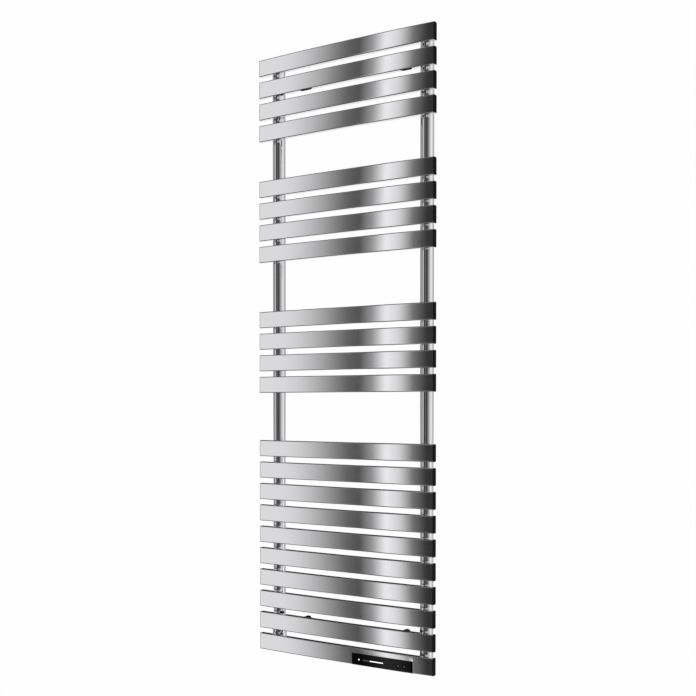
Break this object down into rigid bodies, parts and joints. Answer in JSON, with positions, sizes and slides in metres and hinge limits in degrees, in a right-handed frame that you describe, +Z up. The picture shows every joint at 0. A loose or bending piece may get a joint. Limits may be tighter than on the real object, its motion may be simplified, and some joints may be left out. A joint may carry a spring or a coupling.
{
  "type": "towel warmer rack",
  "caption": "Wall-hung electric towel warmer: bowed flat chrome slats in groups on two round uprights, with a glass control panel in the lowest slat.",
  "frame": {"origin": "centre of the pattern of wall screws, on the wall plane", "axes": "+X right as seen from the front, +Y into the wall, +Z up"},
  "size_m": [0.5, 0.074, 1.5],
  "materials": {
    "chrome": "bright chrome plate, polished",
    "cap_plastic": "black moulded plastic, fine satin",
    "post_paint": "black powder coat, satin",
    "zinc_steel": "bright zinc plate",
    "black_glass": "back-painted black glass, polished",
    "key_plastic": "black gloss, moulded",
    "light_guide": "lit white diffuser",
    "light_guide_dim": "unlit smoked diffuser",
    "housing_plastic": "black moulded plastic, fine spark texture",
    "circuit_board": "green solder mask",
    "component_plastic": "moulded component bodies",
    "element_steel": "drawn stainless sheath",
    "seal_rubber": "moulded rubber",
    "lead_insulation": "silicone insulation"
  },
  "bodies": {
    "rack": {"slat_01": "chrome", "slat_02": "chrome", "slat_03": "chrome", "slat_04": "chrome", "slat_05": "chrome", "slat_06": "chrome", "slat_07": "chrome", "slat_08": "chrome", "slat_09": "chrome", "slat_10": "chrome", "slat_11": "chrome", "slat_12": "chrome", "slat_13": "chrome", "slat_14": "chrome", "slat_15": "chrome", "slat_16": "chrome", "slat_17": "chrome", "slat_18": "chrome", "slat_19": "chrome", "slat_20": "chrome", "slat_21": "chrome", "control_fascia": "chrome", "left_upright": "chrome", "right_upright": "chrome", "left_spigots": "chrome", "right_spigots": "chrome", "upright_caps": "chrome", "element_collar": "chrome", "end_caps_left": "cap_plastic", "end_caps_right": "cap_plastic", "wall_bosses": "post_paint", "post_sleeves": "post_paint", "rack_studs": "zinc_steel", "grub_screws": "zinc_steel", "cover_screws": "zinc_steel", "filler_plug": "zinc_steel", "glass_panel": "black_glass", "status_lens": "light_guide", "light_bar_lit": "light_guide", "light_bar_dim": "light_guide_dim", "panel_chassis": "housing_plastic", "rear_housing": "housing_plastic", "rear_cover": "housing_plastic", "terminal_box": "housing_plastic", "wire_duct": "housing_plastic", "switch_frame": "housing_plastic", "cable_gland": "housing_plastic", "control_board": "circuit_board", "power_board": "circuit_board", "key_switches": "component_plastic", "board_leds": "component_plastic", "power_relay": "component_plastic", "terminal_block": "component_plastic", "heating_element": "element_steel", "element_seal": "seal_rubber", "element_leads": "lead_insulation"},
    "mode_key": {"mode_key": "key_plastic"},
    "power_key": {"power_key": "key_plastic"},
    "mains_rocker": {"rocker_switch": "housing_plastic"}
  },
  "joints": [
    {"name": "mode_key_press", "type": "slide", "parent": "rack", "child": "mode_key", "axis": [0, 1, 0], "range_m": [0, 0.0005], "stiffness_N_per_m": 1600, "springref_m": -0.0004},
    {"name": "power_key_press", "type": "slide", "parent": "rack", "child": "power_key", "axis": [0, 1, 0], "range_m": [0, 0.0005], "stiffness_N_per_m": 1600, "springref_m": -0.0004},
    {"name": "mains_rocker_tilt", "type": "hinge", "parent": "rack", "child": "mains_rocker", "pos_m": [0.057, -0.0385, -0.72], "axis": [0, 1, 0], "range_deg": [0, 20]}
  ]
}
